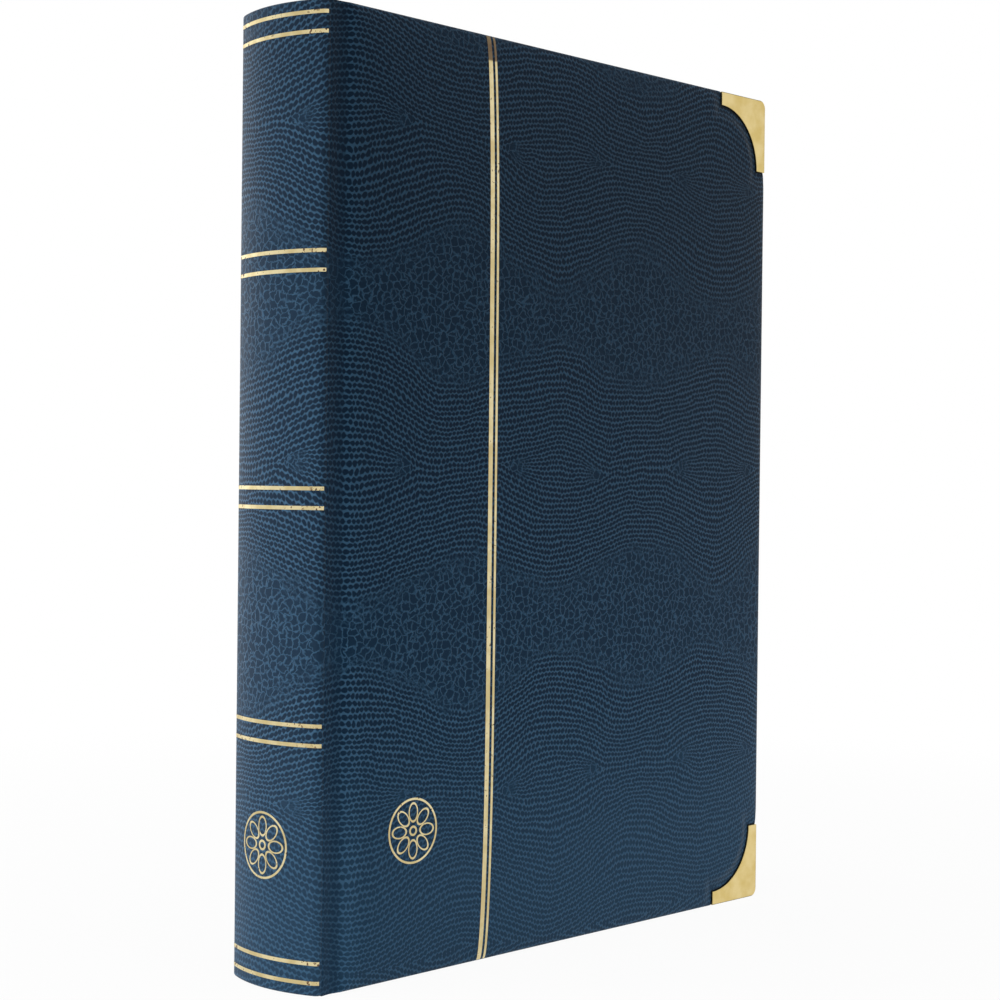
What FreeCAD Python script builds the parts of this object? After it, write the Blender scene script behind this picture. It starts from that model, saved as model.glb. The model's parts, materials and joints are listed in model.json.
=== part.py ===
import FreeCAD, Part
import os
import Sketcher

# Stamp album of the stock-book kind, standing upright on its tail edges.
# X runs from the spine to the fore-edge, Y from the front cover to the rear cover, Z up.
# The origin is the middle of the bottom of the bounding box. Sizes are in millimetres.

os.makedirs("parts", exist_ok=True)
doc = FreeCAD.newDocument("stamp_album")

LEAVES_PER_HALF = 16
STRIPS_PER_PAGE = 9
BAND_PAIRS = 5
SAME = 1e-6

# Driving dimensions
DIMENSIONS = [
    ("cover_height", 305.0, "height of the case"),
    ("overall_width", 230.0, "crown of the spine to the fore-edge of the covers"),
    ("leaf_pitch", 1.0, "one leaf to the next at the binding"),
    ("card_thickness", 0.45, "black card of a leaf"),
    ("film_thickness", 0.06, "clear film of a pocket strip"),
    ("pocket_gap", 0.06, "slack between film and card"),
    ("strip_depth", 24.0, "height of a pocket strip"),
    ("strip_headroom", 9.0, "free card above the highest strip"),
    ("strip_weld", 2.0, "height of the weld at the foot of a strip"),
    ("strip_margin", 5.0, "strip ends and lowest strip from the edges of the card"),
    ("glassine_thickness", 0.05, "glassine interleaf"),
    ("glassine_slack", 0.13, "interleaf from the strips of its leaf"),
    ("glassine_margin", 2.0, "interleaf from the fore-edge of the card"),
    ("linen_thickness", 0.16, "linen that a leaf is hung on"),
    ("linen_width", 9.0, "linen between the fold and the card"),
    ("guard_depth", 3.8, "bound part of the linen, from the back lining to the fold"),
    ("guard_stub", 2.5, "folded and glued part of a guard"),
    ("guard_slack", 0.2, "one folded guard to the next"),
    ("fold_gap", 0.12, "guard end to the fold line"),
    ("flyleaf_gap", 0.55, "flyleaf from the edge of the leaf stack"),
    ("flyleaf_thickness", 0.16, "paper of a flyleaf"),
    ("square", 5.0, "covers stand out past the leaves"),
    ("cover_clearance", 0.2, "flyleaf to the metal corners"),
    ("pastedown_thickness", 0.15, "endpaper glued inside a cover"),
    ("pastedown_margin", 3.0, "pastedown from the edges of a cover"),
    ("leather_thickness", 0.4, "leatherette"),
    ("turn_in", 14.0, "leatherette folded to the inside"),
    ("board_thickness", 2.0, "grey board of a cover"),
    ("pad_thickness", 4.2, "foam at the crown of a cover"),
    ("joint_gap", 3.0, "hinge line to the board of a cover"),
    ("joint_step", 0.3, "leatherette of the joint above the face of the board"),
    ("joint_slit", 0.1, "leatherette from the hinge line, on each side"),
    ("hinge_set", 11.0, "crown of the spine to the hinge lines"),
    ("spine_rise", 4.6, "height of the arch of the spine"),
    ("spine_shoulder", 0.1, "ends of the arch inside the hinge lines"),
    ("spine_board_thickness", 1.0, "bent card of the spine"),
    ("spine_board_inset", 1.5, "spine card inside the ends of the arch"),
    ("lining_thickness", 0.6, "gauze and paper on the back of the leaves"),
    ("lining_slack", 0.3, "wings of the lining from the joint leatherette"),
    ("band_radius", 1.2, "roll of a headband"),
    ("band_skirt", 12.0, "cloth of a headband glued to the back lining"),
    ("band_cloth", 0.4, "thickness of that cloth"),
    ("corner_leg", 27.3, "metal corner along an edge"),
    ("corner_end", 5.0, "width of a metal corner at the end of its leg"),
    ("corner_metal", 0.4, "sheet of a metal corner"),
    ("corner_radius", 3.0, "outer rounding of a metal corner"),
    ("corner_stand", 1.2, "face of a metal corner above the board"),
    ("corner_seat", 0.3, "padding stands back from the edge of a corner"),
    ("corner_bend", 0.3, "rounding of the folded edges of a corner"),
    ("foil_thickness", 0.06, "gold foil"),
    ("foil_line", 1.2, "width of a line on the spine"),
    ("foil_pair", 6.0, "two lines of a pair on the spine, middle to middle"),
    ("foil_end", 7.0, "first and last pair from the ends of the spine"),
    ("stripe_place", 75.0, "crown of the spine to the broad stripe on the front cover"),
    ("stripe_broad", 1.9, "broad stripe"),
    ("stripe_fine", 1.0, "fine stripe beside it"),
    ("stripe_gap", 1.1, "leatherette between the two stripes"),
    ("stripe_margin", 0.6, "stripes from head and tail of the cover"),
]

sheet = doc.addObject("Spreadsheet::Sheet", "Sizes")
for row, (alias, value, meaning) in enumerate(DIMENSIONS, 1):
    sheet.set(f"A{row}", meaning)
    sheet.set(f"B{row}", str(value))
    sheet.setAlias(f"B{row}", alias)
doc.recompute()


def dim(alias):
    return f"Sizes.{alias}"


def number(text):
    return float(sheet.evalExpression(text))


# Places worked out from the driving dimensions, as expressions
fore_edge = f"({dim('overall_width')} / 2)"
spine_crown = f"({dim('foil_thickness')} - {dim('overall_width')} / 2)"
top = dim("cover_height")
stack_half = f"({LEAVES_PER_HALF} * {dim('leaf_pitch')})"
flyleaf_level = f"({stack_half} + {dim('flyleaf_gap')})"
pastedown_in = (f"({flyleaf_level} + {dim('flyleaf_thickness')} / 2 + {dim('cover_clearance')}"
                f" + {dim('corner_metal')})")
turn_in_in = f"({pastedown_in} + {dim('pastedown_thickness')})"
board_in = f"({turn_in_in} + {dim('leather_thickness')})"
board_out = f"({board_in} + {dim('board_thickness')})"
rim_level = f"({board_out} + {dim('leather_thickness')})"
hinge_level = f"({board_out} + {dim('joint_step')})"
corner_face = f"({board_out} + {dim('corner_stand')})"
hinge_x = f"({spine_crown} + {dim('hinge_set')})"
board_x = f"({hinge_x} + {dim('joint_gap')})"
lining_x = f"({hinge_x} - {dim('lining_thickness')} / 2)"
guard_x = f"({lining_x} + {dim('lining_thickness')})"
fold_x = f"({guard_x} + {dim('guard_depth')})"
card_x = f"({fold_x} + {dim('linen_width')})"
leaf_x = f"({fore_edge} - {dim('square')})"
leaf_bottom = dim("square")
leaf_top = f"({top} - {dim('square')})"
arch_half = f"({hinge_level} - {dim('spine_shoulder')})"
arch_radius = (f"(({arch_half} * {arch_half} + {dim('spine_rise')} * {dim('spine_rise')})"
               f" / (2 * {dim('spine_rise')}))")
arch_centre = f"({spine_crown} + {arch_radius})"


def box(name, x_span, y_span, z_span):
    solid = doc.addObject("Part::Box", name)
    spans = (("Length", "x", x_span), ("Width", "y", y_span), ("Height", "z", z_span))
    for size, axis, (low, high) in spans:
        solid.setExpression(size, f"({high}) - ({low})")
        solid.setExpression(f".Placement.Base.{axis}", low)
    return solid


def front(inner, outer):
    """Span in Y of a layer of the front cover, from its distances to the middle of the album."""
    return f"-({outer})", f"-({inner})"


def fuse(name, pieces):
    joined = doc.addObject("Part::MultiFuse", name)
    joined.Shapes = pieces
    return joined


def cut(name, base, tool):
    remainder = doc.addObject("Part::Cut", name)
    remainder.Base = base
    remainder.Tool = tool
    return remainder


def group(name, pieces, y_shift="0", z_shift="0"):
    bundle = doc.addObject("Part::Compound", name)
    bundle.Links = pieces
    bundle.setExpression(".Placement.Base.y", y_shift)
    bundle.setExpression(".Placement.Base.z", z_shift)
    return bundle


def mirror_rear(name, source):
    twin = doc.addObject("Part::Mirroring", name)
    twin.Source = source
    twin.Normal = (0, 1, 0)
    return twin


def mirror_up(name, source):
    twin = doc.addObject("Part::Mirroring", name)
    twin.Source = source
    twin.Normal = (0, 0, 1)
    twin.setExpression(".Base.z", f"{top} / 2")
    return twin


def pin(sketch, geometry, end, label, x_text=None, y_text=None):
    """Hold a sketch point at expressions for its coordinates; one left out stays free."""
    for kind, axis, text in (("DistanceX", -2, x_text), ("DistanceY", -1, y_text)):
        if text is None:
            continue
        value = number(text)
        if abs(value) < SAME:
            sketch.addConstraint(Sketcher.Constraint("PointOnObject", geometry, end, axis))
            continue
        index = sketch.addConstraint(Sketcher.Constraint(kind, -1, 1, geometry, end, value))
        name = f"{label}_{kind[-1]}"
        sketch.renameConstraint(index, name)
        sketch.setExpression(f"Constraints.{name}", text)


def outline(body, plane, level, path):
    """Closed sketch through the corners of path, each a pair of expressions. A corner reached by
    an arc also gives the centre, and "left" or "right" for the way the arc turns."""
    sketch = body.newObject("Sketcher::SketchObject", "outline")
    face = [item for item in body.Origin.OriginFeatures if item.Role == plane][0]
    sketch.AttachmentSupport = [(face, "")]
    sketch.MapMode = "FlatFace"
    sketch.setExpression(".AttachmentOffset.Base.z", level)
    corners = [FreeCAD.Vector(number(step[0]), number(step[1]), 0) for step in path]
    ends = []
    for i, step in enumerate(path):
        first, last = corners[i - 1], corners[i]
        if len(step) == 2:
            sketch.addGeometry(Part.LineSegment(first, last))
            ends.append((1, 2))
            continue
        middle = FreeCAD.Vector(number(step[2][0]), number(step[2][1]), 0)
        circle = Part.Circle(middle, FreeCAD.Vector(0, 0, 1), (first - middle).Length)
        ends.append((1, 2) if step[3] == "left" else (2, 1))
        if step[3] == "right":
            first, last = last, first
        arc = Part.ArcOfCircle(circle, circle.parameter(first), circle.parameter(last))
        sketch.addGeometry(arc)
    for i, step in enumerate(path):
        following = (i + 1) % len(path)
        joint = Sketcher.Constraint("Coincident", i, ends[i][1], following, ends[following][0])
        sketch.addConstraint(joint)
        if len(step) == 2:
            pin(sketch, i, ends[i][1], f"corner{i}", step[0], step[1])
            continue
        pin(sketch, i, 3, f"centre{i}", step[2][0], step[2][1])
        spoke = corners[i] - FreeCAD.Vector(number(step[2][0]), number(step[2][1]), 0)
        if abs(spoke.x) > abs(spoke.y):
            pin(sketch, i, ends[i][1], f"corner{i}", y_text=step[1])
        else:
            pin(sketch, i, ends[i][1], f"corner{i}", x_text=step[0])
    return sketch


def pad(body, sketch, length, both_ways=False):
    feature = body.newObject("PartDesign::Pad", "pad")
    feature.Profile = sketch
    feature.setExpression("Length", length)
    feature.Midplane = both_ways
    return feature


def pocket(body, sketch, length):
    feature = body.newObject("PartDesign::Pocket", "pocket")
    feature.Profile = sketch
    feature.setExpression("Length", length)
    return feature


def rectangle(x_low, x_high, y_low, y_high):
    return [(x_low, y_low), (x_high, y_low), (x_high, y_high), (x_low, y_high)]


# Metal corners: sheet folded over the two edges of a cover, with the inner edge cut to a hollow arc.
# The drawing serves the sheet, the hollow inside it, and the seat that it presses into the cover.
def corner_drawing(growth, wall, radius=None):
    leg = f"({dim('corner_leg')} + {growth})"
    end = f"({dim('corner_end')} + {growth})"
    leg_x = f"({fore_edge} - {leg})"
    end_x = f"({fore_edge} - {end})"
    edge_x = f"({fore_edge} - {wall})"
    path = [(leg_x, end, (leg_x, leg), "right"), (leg_x, wall)]
    if radius:
        bend_x = f"({edge_x} - {radius})"
        bend_z = f"({wall} + {radius})"
        path += [(bend_x, wall), (edge_x, bend_z, (bend_x, bend_z), "left")]
    else:
        path += [(edge_x, wall)]
    return path + [(edge_x, leg), (end_x, leg)]


def corner_form(name, face, wall, growth="0", radius=None):
    """Folded corner with a wall of the given thickness, reaching out to the level of face."""
    body = doc.addObject("PartDesign::Body", name)
    under = f"({pastedown_in} - {dim('corner_metal')})"
    folded = outline(body, "XZ_Plane", under, corner_drawing(growth, "0", radius))
    pad(body, folded, f"{face} - {under}")
    hollow_top = f"({corner_face} - {wall})"
    hollow_radius = f"({dim('corner_radius')} - {wall})"
    open_side = f"({growth} + {dim('corner_end')})"
    hollow = outline(body, "XZ_Plane", hollow_top, corner_drawing(open_side, wall, hollow_radius))
    pocket(body, hollow, f"{hollow_top} - {pastedown_in}")
    return body


def round_bends(body):
    """Round the folded edges of the outer face of a corner."""
    doc.recompute()
    face_y = -number(corner_face)
    leg = number(dim("corner_leg"))
    reach = number(dim("corner_radius"))
    right = number(fore_edge)
    names = []
    for index, edge in enumerate(body.Shape.Edges, 1):
        middle = edge.CenterOfMass
        on_face = all(abs(vertex.Y - face_y) < SAME for vertex in edge.Vertexes)
        on_fold = middle.x > right - reach or middle.z < reach
        between_ends = middle.x > right - leg + SAME and middle.z < leg - SAME
        if on_face and on_fold and between_ends:
            names.append(f"Edge{index}")
    pressed = body.Tip
    fillet = body.newObject("PartDesign::Fillet", "bends")
    fillet.Base = (pressed, names)
    fillet.setExpression("Radius", dim("corner_bend"))


crown_level = f"({rim_level} + {dim('pad_thickness')})"
beyond_crown = f"({crown_level} + {dim('corner_seat')})"
front_lower_corner = corner_form("front_lower_corner", corner_face, dim("corner_metal"),
                                 radius=dim("corner_radius"))
round_bends(front_lower_corner)
front_upper_corner = mirror_up("front_upper_corner", front_lower_corner)
rear_lower_corner = mirror_rear("rear_lower_corner", front_lower_corner)
rear_upper_corner = mirror_rear("rear_upper_corner", front_upper_corner)


def corner_seats(name, wall, growth):
    lower = corner_form(f"{name}_lower", beyond_crown, wall, growth)
    return fuse(name, [lower, mirror_up(f"{name}_upper", lower)])


skin_seats = corner_seats("skin_seats", dim("corner_metal"), dim("corner_seat"))
core_seats = corner_seats("core_seats", f"({dim('corner_metal')} + {dim('leather_thickness')})",
                          f"({dim('corner_seat')} + {dim('leather_thickness')})")

# Crown of a padded cover, from the edge inwards: the foam is pressed thin where the leatherette is
# drawn round the board, and swells to its full thickness in the middle.
# Each entry is a distance from the edge, and the share of the foam's thickness reached there.
CROWN = [(0, 0.0), (1, 0.16), (3, 0.29), (8, 0.42), (20, 0.57), (40, 0.76), (80, 1.0)]


def pillow(name, spine_side, rim, base):
    body = doc.addObject("PartDesign::Body", name)
    rings = []
    for inset, share in CROWN:
        level = f"({base} + {share} * {dim('pad_thickness')})"
        ring = rectangle(f"({spine_side} + {inset})", f"({fore_edge} - {rim} - {inset})",
                         f"({rim} + {inset})", f"({top} - {rim} - {inset})")
        rings.append(outline(body, "XZ_Plane", level, ring))
    loft = body.newObject("PartDesign::AdditiveLoft", "crown")
    loft.Profile = rings[0]
    loft.Sections = rings[1:]
    loft.Ruled = True
    return body


# Front cover: board, foam, leatherette drawn over both and folded in, card that levels the inside,
# and pastedown
leather = dim("leather_thickness")
board_blank = box("board_blank", (board_x, f"{fore_edge} - {leather}"), front(board_in, board_out),
                  (leather, f"{top} - {leather}"))
foam_blank = pillow("foam_blank", board_x, leather, board_out)
front_board = cut("front_board", board_blank, core_seats)
front_padding = cut("front_padding", foam_blank, core_seats)

joint_in = f"({hinge_level} - {leather})"
whole_height = ("0", top)
cover_form = fuse("cover_form", [
    box("cover_edge", (board_x, fore_edge), front(turn_in_in, joint_in), whole_height),
    box("cover_rim", (f"{board_x} - {leather}", fore_edge), front(joint_in, rim_level), whole_height),
    pillow("cover_crown", f"({board_x} - {leather})", "0", rim_level),
    box("cover_joint", (f"{hinge_x} + {dim('joint_slit')}", board_x), front(joint_in, hinge_level),
        whole_height),
])
front_infill = box("front_infill", (board_x, f"{fore_edge} - {dim('turn_in')}"), front(turn_in_in, board_in),
                   (dim("turn_in"), f"{top} - {dim('turn_in')}"))
cover_inside = fuse("cover_inside", [front_board, front_padding, front_infill])
front_covering = cut("front_covering", cut("cover_seated", cover_form, skin_seats), cover_inside)
front_pastedown = box("front_pastedown", (board_x, f"{fore_edge} - {dim('pastedown_margin')}"),
                      front(pastedown_in, turn_in_in),
                      (dim("pastedown_margin"), f"{top} - {dim('pastedown_margin')}"))

rear_board = mirror_rear("rear_board", front_board)
rear_padding = mirror_rear("rear_padding", front_padding)
rear_covering = mirror_rear("rear_covering", front_covering)
rear_infill = mirror_rear("rear_infill", front_infill)
rear_pastedown = mirror_rear("rear_pastedown", front_pastedown)


# Spine: bent card under leatherette, arched clear of the back of the leaves. The leatherette goes on
# to the hinge lines, and is folded in over the card at head and tail.
def arch_x(radius, half):
    return f"({arch_centre} - sqrt({radius} * {radius} - {half} * {half}))"


def arch_band(outer_radius, inner_radius, half):
    """Outline of a bent sheet between two radii, ending at half its chord."""
    centre = (arch_centre, "0")
    return [
        (arch_x(outer_radius, half), f"(-{half})"),
        (arch_x(outer_radius, half), half, centre, "right"),
        (arch_x(inner_radius, half), half),
        (arch_x(inner_radius, half), f"(-{half})", centre, "left"),
    ]


def sheet_body(name, path, low, high):
    body = doc.addObject("PartDesign::Body", name)
    pad(body, outline(body, "XY_Plane", low, path), f"{high} - {low}")
    return body


card_out = f"({arch_radius} - {leather})"
card_in = f"({card_out} - {dim('spine_board_thickness')})"
hem_in = f"({card_in} - {leather})"
card_half = f"({arch_half} - {dim('spine_board_inset')})"
inner_half = f"({arch_half} - {leather})"
flap_x = f"({hinge_x} - {dim('joint_slit')})"

spine_board = sheet_body("spine_board", arch_band(card_out, card_in, card_half), leather,
                         f"({top} - {leather})")
spine_skin = sheet_body("spine_skin", [
    (arch_x(arch_radius, arch_half), f"(-{arch_half})"),
    (arch_x(arch_radius, arch_half), arch_half, (arch_centre, "0"), "right"),
    (flap_x, hinge_level),
    (flap_x, joint_in),
    (arch_x(card_out, inner_half), inner_half),
    (arch_x(card_out, inner_half), f"(-{inner_half})", (arch_centre, "0"), "left"),
    (flap_x, f"(-{joint_in})"),
    (flap_x, f"(-{hinge_level})"),
], "0", top)
hem_blank = sheet_body("hem_blank", arch_band(card_out, hem_in, card_half), "0", dim("turn_in"))
tail_hem = cut("tail_hem", hem_blank, spine_board)
spine_covering = fuse("spine_covering", [spine_skin, tail_hem, mirror_up("head_hem", tail_hem)])

# Back of the leaves: lining with wings that reach the joints, guards, headband and tailband
leaf_height = (leaf_bottom, leaf_top)
wing = f"({joint_in} - {dim('lining_slack')})"
back_lining = box("back_lining", (lining_x, guard_x), (f"-{wing}", wing), leaf_height)

stub_x = f"({guard_x} + {dim('guard_stub')})"
stub_half = f"(({dim('leaf_pitch')} - {dim('guard_slack')}) / 2)"
linen_half = f"({dim('linen_thickness')} / 2)"
guard_form = fuse("guard_form", [
    box("guard_fold", (guard_x, stub_x), (f"-{stub_half}", stub_half), leaf_height),
    box("guard_tongue", (stub_x, f"{fold_x} - {dim('fold_gap')}"), (f"-{linen_half}", linen_half), leaf_height),
])


def leaf_level(number_from_front):
    return f"({number_from_front} - {LEAVES_PER_HALF} - 0.5) * {dim('leaf_pitch')}"


linen_guards = group("linen_guards", [
    group(f"guard_{k:02d}", [guard_form], leaf_level(k)) for k in range(1, 2 * LEAVES_PER_HALF + 1)])

roll = doc.addObject("Part::Cylinder", "band_roll")
roll.setExpression("Radius", dim("band_radius"))
roll.setExpression("Height", f"2 * {stack_half}")
roll.Placement.Rotation = FreeCAD.Rotation(FreeCAD.Vector(1, 0, 0), -90)
roll.setExpression(".Placement.Base.x", lining_x)
roll.setExpression(".Placement.Base.y", f"-{stack_half}")
roll.setExpression(".Placement.Base.z", f"{leaf_top} + {dim('band_radius')}")
skirt = box("band_skirt", (f"{lining_x} - {dim('band_cloth')}", lining_x), (f"-{stack_half}", stack_half),
            (f"{leaf_top} - {dim('band_skirt')}", f"{leaf_top} + {dim('band_radius')}"))
headband = fuse("headband", [roll, skirt])
tailband = mirror_up("tailband", headband)


# Leaves: card hung on linen, with rows of clear strips welded along their feet on both pages, and a
# glassine interleaf on the side of the nearer cover
def leaf_card(name):
    body = doc.addObject("PartDesign::Body", name)
    card = outline(body, "XZ_Plane", "0", rectangle(card_x, leaf_x, leaf_bottom, leaf_top))
    pad(body, card, dim("card_thickness"), both_ways=True)
    linen = outline(body, "XZ_Plane", "0", rectangle(f"({fold_x} + {linen_half})", card_x, leaf_bottom, leaf_top))
    pad(body, linen, dim("linen_thickness"), both_ways=True)
    page = f"({dim('card_thickness')} / 2)"
    film_in = f"({page} + {dim('pocket_gap')})"
    film_out = f"({film_in} + {dim('film_thickness')})"
    foot = f"({leaf_bottom} + {dim('strip_margin')})"
    weld_top = f"({foot} + {dim('strip_weld')})"
    strip_top = f"({foot} + {dim('strip_depth')})"
    strip_x = f"({card_x} + {dim('strip_margin')})"
    hook = outline(body, "YZ_Plane", strip_x, [
        (page, foot), (film_out, foot), (film_out, strip_top),
        (film_in, strip_top), (film_in, weld_top), (page, weld_top)])
    strip = pad(body, hook, f"{leaf_x} - {dim('strip_margin')} - {strip_x}")
    axis = [item for item in body.Origin.OriginFeatures if item.Role == "Z_Axis"][0]
    rows = body.newObject("PartDesign::LinearPattern", "rows")
    rows.Originals = [strip]
    rows.Direction = (axis, [""])
    rows.Occurrences = STRIPS_PER_PAGE
    rows.setExpression("Length", f"{leaf_top} - {dim('strip_headroom')} - {strip_top}")
    body.Tip = rows
    doc.recompute()
    middle = [item for item in body.Origin.OriginFeatures if item.Role == "XZ_Plane"][0]
    pages = body.newObject("PartDesign::Mirrored", "pages")
    pages.TransformMode = "Whole shape"
    pages.MirrorPlane = (middle, [""])
    body.Tip = pages
    return body


leaf_form = leaf_card("leaf_form")
glassine_in = (f"({dim('card_thickness')} / 2 + {dim('pocket_gap')} + {dim('film_thickness')}"
               f" + {dim('glassine_slack')})")
interleaf_form = box("interleaf_form", (card_x, f"{leaf_x} - {dim('glassine_margin')}"),
                     front(glassine_in, f"{glassine_in} + {dim('glassine_thickness')}"), leaf_height)
leaves = []
for k in range(1, LEAVES_PER_HALF + 1):
    front_leaf = group(f"leaf_{k:02d}", [leaf_form, interleaf_form], leaf_level(k))
    rear_leaf = mirror_rear(f"leaf_{2 * LEAVES_PER_HALF + 1 - k:02d}", front_leaf)
    leaves += [front_leaf, rear_leaf]

flyleaf_half = f"({dim('flyleaf_thickness')} / 2)"
front_flyleaf = box("front_flyleaf", (f"{fold_x} + {flyleaf_half}", leaf_x),
                    front(f"{flyleaf_level} - {flyleaf_half}", f"{flyleaf_level} + {flyleaf_half}"), leaf_height)
rear_flyleaf = mirror_rear("rear_flyleaf", front_flyleaf)

# Gold foil: pairs of lines round the spine, and two stripes down the front cover
foil = dim("foil_thickness")
foil_radius = f"({arch_radius} + {foil})"
band_half = f"({arch_half} - {foil})"
band_step = f"(({top} - 2 * {dim('foil_end')}) / {BAND_PAIRS - 1})"
spine_line = sheet_body("spine_line", arch_band(foil_radius, arch_radius, band_half),
                        f"(-{dim('foil_line')} / 2)", f"({dim('foil_line')} / 2)")
lines = []
for k in range(BAND_PAIRS):
    for side in (-1, 1):
        middle = f"{dim('foil_end')} + {k} * {band_step} + {side} * {dim('foil_pair')} / 2"
        lines.append(group(f"spine_line_{len(lines)}", [spine_line], z_shift=middle))
spine_bands = group("spine_bands", lines)

raised_form = group("raised_form", [cover_form], f"-{foil}")


def stripe(name, low, width):
    """Foil between the padded cover and the same form raised by the foil's thickness."""
    slab = box(f"{name}_slab", (low, f"{low} + {width}"), front(rim_level, beyond_crown),
               (dim("stripe_margin"), f"{top} - {dim('stripe_margin')}"))
    lifted = doc.addObject("Part::Common", f"{name}_lifted")
    lifted.Base = raised_form
    lifted.Tool = slab
    return cut(name, lifted, cover_form)


broad_x = f"({spine_crown} + {dim('stripe_place')} - {dim('stripe_broad')} / 2)"
fine_x = f"({broad_x} + {dim('stripe_broad')} + {dim('stripe_gap')})"
front_stripes = group("front_stripes", [
    stripe("broad_stripe", broad_x, dim("stripe_broad")),
    stripe("fine_stripe", fine_x, dim("stripe_fine")),
])

NODES = [
    front_board, front_padding, front_covering, front_infill, front_pastedown, front_stripes,
    rear_board, rear_padding, rear_covering, rear_infill, rear_pastedown,
    front_lower_corner, front_upper_corner, rear_lower_corner, rear_upper_corner,
    spine_board, spine_covering, spine_bands, back_lining, linen_guards, headband, tailband,
    front_flyleaf, rear_flyleaf,
] + sorted(leaves, key=lambda leaf: leaf.Name)

doc.recompute()
for item in doc.Objects:
    if "Invalid" in item.State or "Error" in item.State:
        raise RuntimeError(f"{item.Label} did not build")
for node in NODES:
    if node.Shape.isNull() or not node.Shape.isValid():
        raise RuntimeError(f"{node.Label} has no sound shape")
    node.Shape.exportStep(f"parts/{node.Label}.step")
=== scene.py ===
import json
import math

import bmesh
import bpy
from mathutils import Matrix, Vector


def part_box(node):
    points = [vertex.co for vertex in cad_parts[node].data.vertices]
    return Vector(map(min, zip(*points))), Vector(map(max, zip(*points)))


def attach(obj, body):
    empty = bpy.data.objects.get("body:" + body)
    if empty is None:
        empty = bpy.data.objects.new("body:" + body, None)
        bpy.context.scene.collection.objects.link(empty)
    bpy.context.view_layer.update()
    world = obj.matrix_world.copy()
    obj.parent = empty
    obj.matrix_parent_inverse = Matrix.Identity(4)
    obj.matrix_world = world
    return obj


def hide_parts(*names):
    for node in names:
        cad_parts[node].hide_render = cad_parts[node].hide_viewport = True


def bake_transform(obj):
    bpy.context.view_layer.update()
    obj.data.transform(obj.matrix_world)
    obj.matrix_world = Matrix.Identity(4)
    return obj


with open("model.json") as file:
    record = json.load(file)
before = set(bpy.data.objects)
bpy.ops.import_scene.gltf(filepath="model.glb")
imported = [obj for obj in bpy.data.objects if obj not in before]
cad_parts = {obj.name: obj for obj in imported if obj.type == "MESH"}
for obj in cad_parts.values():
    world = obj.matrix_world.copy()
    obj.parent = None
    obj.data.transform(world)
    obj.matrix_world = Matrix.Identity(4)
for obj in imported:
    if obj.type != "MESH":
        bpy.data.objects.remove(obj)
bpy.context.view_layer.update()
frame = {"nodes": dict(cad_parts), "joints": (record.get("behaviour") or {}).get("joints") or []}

# Boards: two sheets of grey board, cut square, two thinner cards glued inside them that level the
# step of the folded-in leatherette, and a bent card in the spine. The covering hides them all.
MM = 0.001


class Value:
    """A number that changes over a surface. Arithmetic on it adds Math nodes to its finish."""

    def __init__(self, finish, socket):
        self.finish = finish
        self.socket = socket

    def math(self, operation, *others):
        return self.finish.node("ShaderNodeMath", {"operation": operation}, dict(enumerate((self, *others))))

    def __add__(self, other):
        return self.math("ADD", other)

    __radd__ = __add__

    def __sub__(self, other):
        return self.math("SUBTRACT", other)

    def __rsub__(self, other):
        return self.math("MULTIPLY_ADD", -1.0, other)

    def __mul__(self, other):
        return self.math("MULTIPLY", other)

    __rmul__ = __mul__

    def __truediv__(self, other):
        return self.math("DIVIDE", other)

    def wave(self, pitch):
        """A cosine of this length over the value."""
        return (self * (2 * math.pi / pitch)).math("COSINE")

    def rise(self, low, high):
        """0 below low, 1 above high, and a soft slope between them."""
        return self.finish.node("ShaderNodeMapRange", {"interpolation_type": "SMOOTHSTEP"},
                                {"Value": self, "From Min": low, "From Max": high})


class Finish:
    """A material, built node by node on its Principled shader."""

    def __init__(self, name, sockets):
        self.material = bpy.data.materials.new(name)
        self.material.use_nodes = True
        self.tree = self.material.node_tree
        self.shader = self.tree.nodes["Principled BSDF"]
        self.feed(sockets)

    def node(self, kind, settings=None, sockets=None, output=0):
        node = self.tree.nodes.new(kind)
        for name, value in (settings or {}).items():
            setattr(node, name, value)
        for name, value in (sockets or {}).items():
            self.set(node.inputs[name], value)
        return Value(self, node.outputs[output])

    def set(self, socket, value):
        if isinstance(value, Value):
            self.tree.links.new(value.socket, socket)
        else:
            socket.default_value = value

    def feed(self, sockets):
        for name, value in sockets.items():
            self.set(self.shader.inputs[name], value)

    def place(self):
        return self.node("ShaderNodeTexCoord", output="Object")

    def split(self, vector):
        return [self.node("ShaderNodeSeparateXYZ", None, {0: vector}, output=axis) for axis in range(3)]

    def join(self, x, y, z=0.0):
        return self.node("ShaderNodeCombineXYZ", None, {0: x, 1: y, 2: z})

    def noise(self, vector, scale, detail=2.0, roughness=0.5, output=0):
        return self.node("ShaderNodeTexNoise", None,
                         {"Vector": vector, "Scale": scale, "Detail": detail, "Roughness": roughness}, output)

    def mix(self, factor, first, second):
        """Two colours mixed. A Mix node has its colours at inputs 6 and 7 and output 2."""
        return self.node("ShaderNodeMix", {"data_type": "RGBA"}, {0: factor, 6: first, 7: second}, output=2)

    def bump(self, height, distance, strength=1.0):
        return self.node("ShaderNodeBump", None,
                         {"Height": height, "Distance": distance, "Strength": strength})

    def wear(self, *pieces):
        for piece in pieces:
            piece.data.materials.clear()
            piece.data.materials.append(self.material)


def shade(red, green, blue):
    """A colour as it looks on a screen, 0 to 255, for a shader."""
    def linear(level):
        level /= 255
        return level / 12.92 if level <= 0.04045 else ((level + 0.055) / 1.055) ** 2.4
    return linear(red), linear(green), linear(blue), 1.0


BOARD_GREY = shade(142, 140, 134)
BOARD_FLECK = shade(104, 101, 95)
FLECK_SCALE = 900.0
FLECK_HEIGHT = 0.1 * MM

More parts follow.
